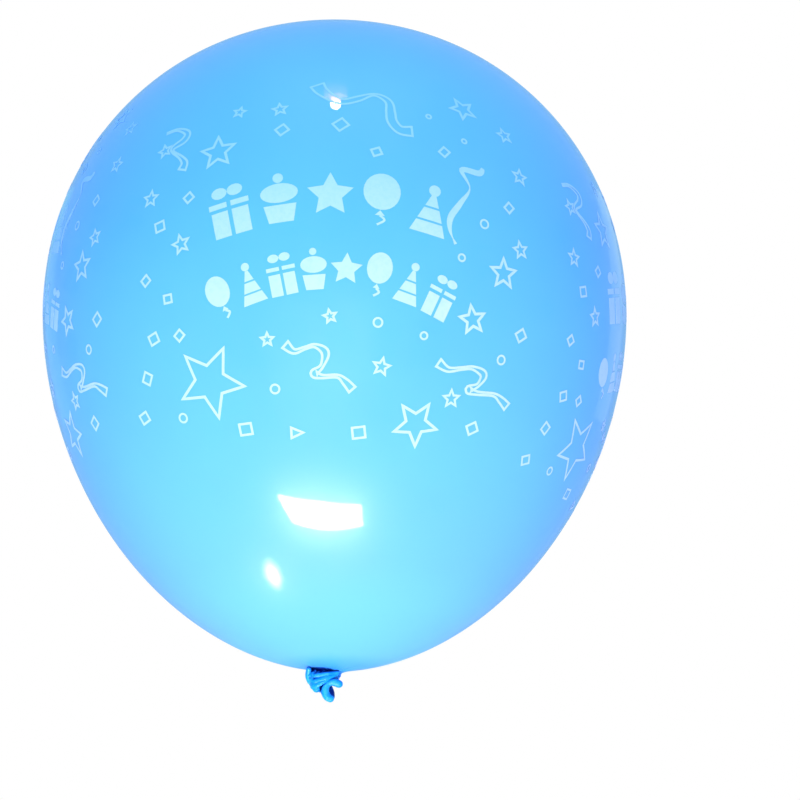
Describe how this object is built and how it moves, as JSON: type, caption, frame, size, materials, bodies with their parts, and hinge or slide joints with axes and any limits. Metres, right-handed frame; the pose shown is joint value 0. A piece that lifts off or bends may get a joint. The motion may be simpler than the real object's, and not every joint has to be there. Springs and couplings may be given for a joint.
{
  "type": "light-up latex party balloon",
  "caption": "Blown-up round party balloon in thin latex, tied in a knot below, with a small battery lamp hanging inside from its crown.",
  "frame": {"origin": "on the axis, in the middle of the tied neck, where a ribbon goes round", "axes": "+Z from the neck up through the crown; the printed front faces -Y, with +X to its right"},
  "size_m": [0.2799, 0.28, 0.3331],
  "materials": {
    "blue_latex": "gloss",
    "blue_latex_thick": "gloss",
    "clear_rubber": "satin",
    "lamp_plastic": "satin",
    "cell_steel": "polished",
    "sleeve_plastic": "gloss",
    "contact_brass": "satin",
    "spring_steel": "satin",
    "bulb_epoxy": "gloss",
    "lead_metal": "satin",
    "white_ink": "satin"
  },
  "bodies": {
    "root": {"balloon_skin": "blue_latex", "knot": "blue_latex_thick", "neck_tail": "blue_latex_thick", "mouth_bead": "blue_latex_thick", "clamp_ring": "clear_rubber", "lamp_cap": "lamp_plastic", "lamp_housing": "lamp_plastic", "upper_cell": "cell_steel", "middle_cell": "cell_steel", "lower_cell": "cell_steel", "cell_sleeve": "sleeve_plastic", "top_contact": "contact_brass", "contact_spring": "spring_steel", "led_bulb": "bulb_epoxy", "long_lead": "lead_metal", "short_lead": "lead_metal"}
  },
  "joints": []
}
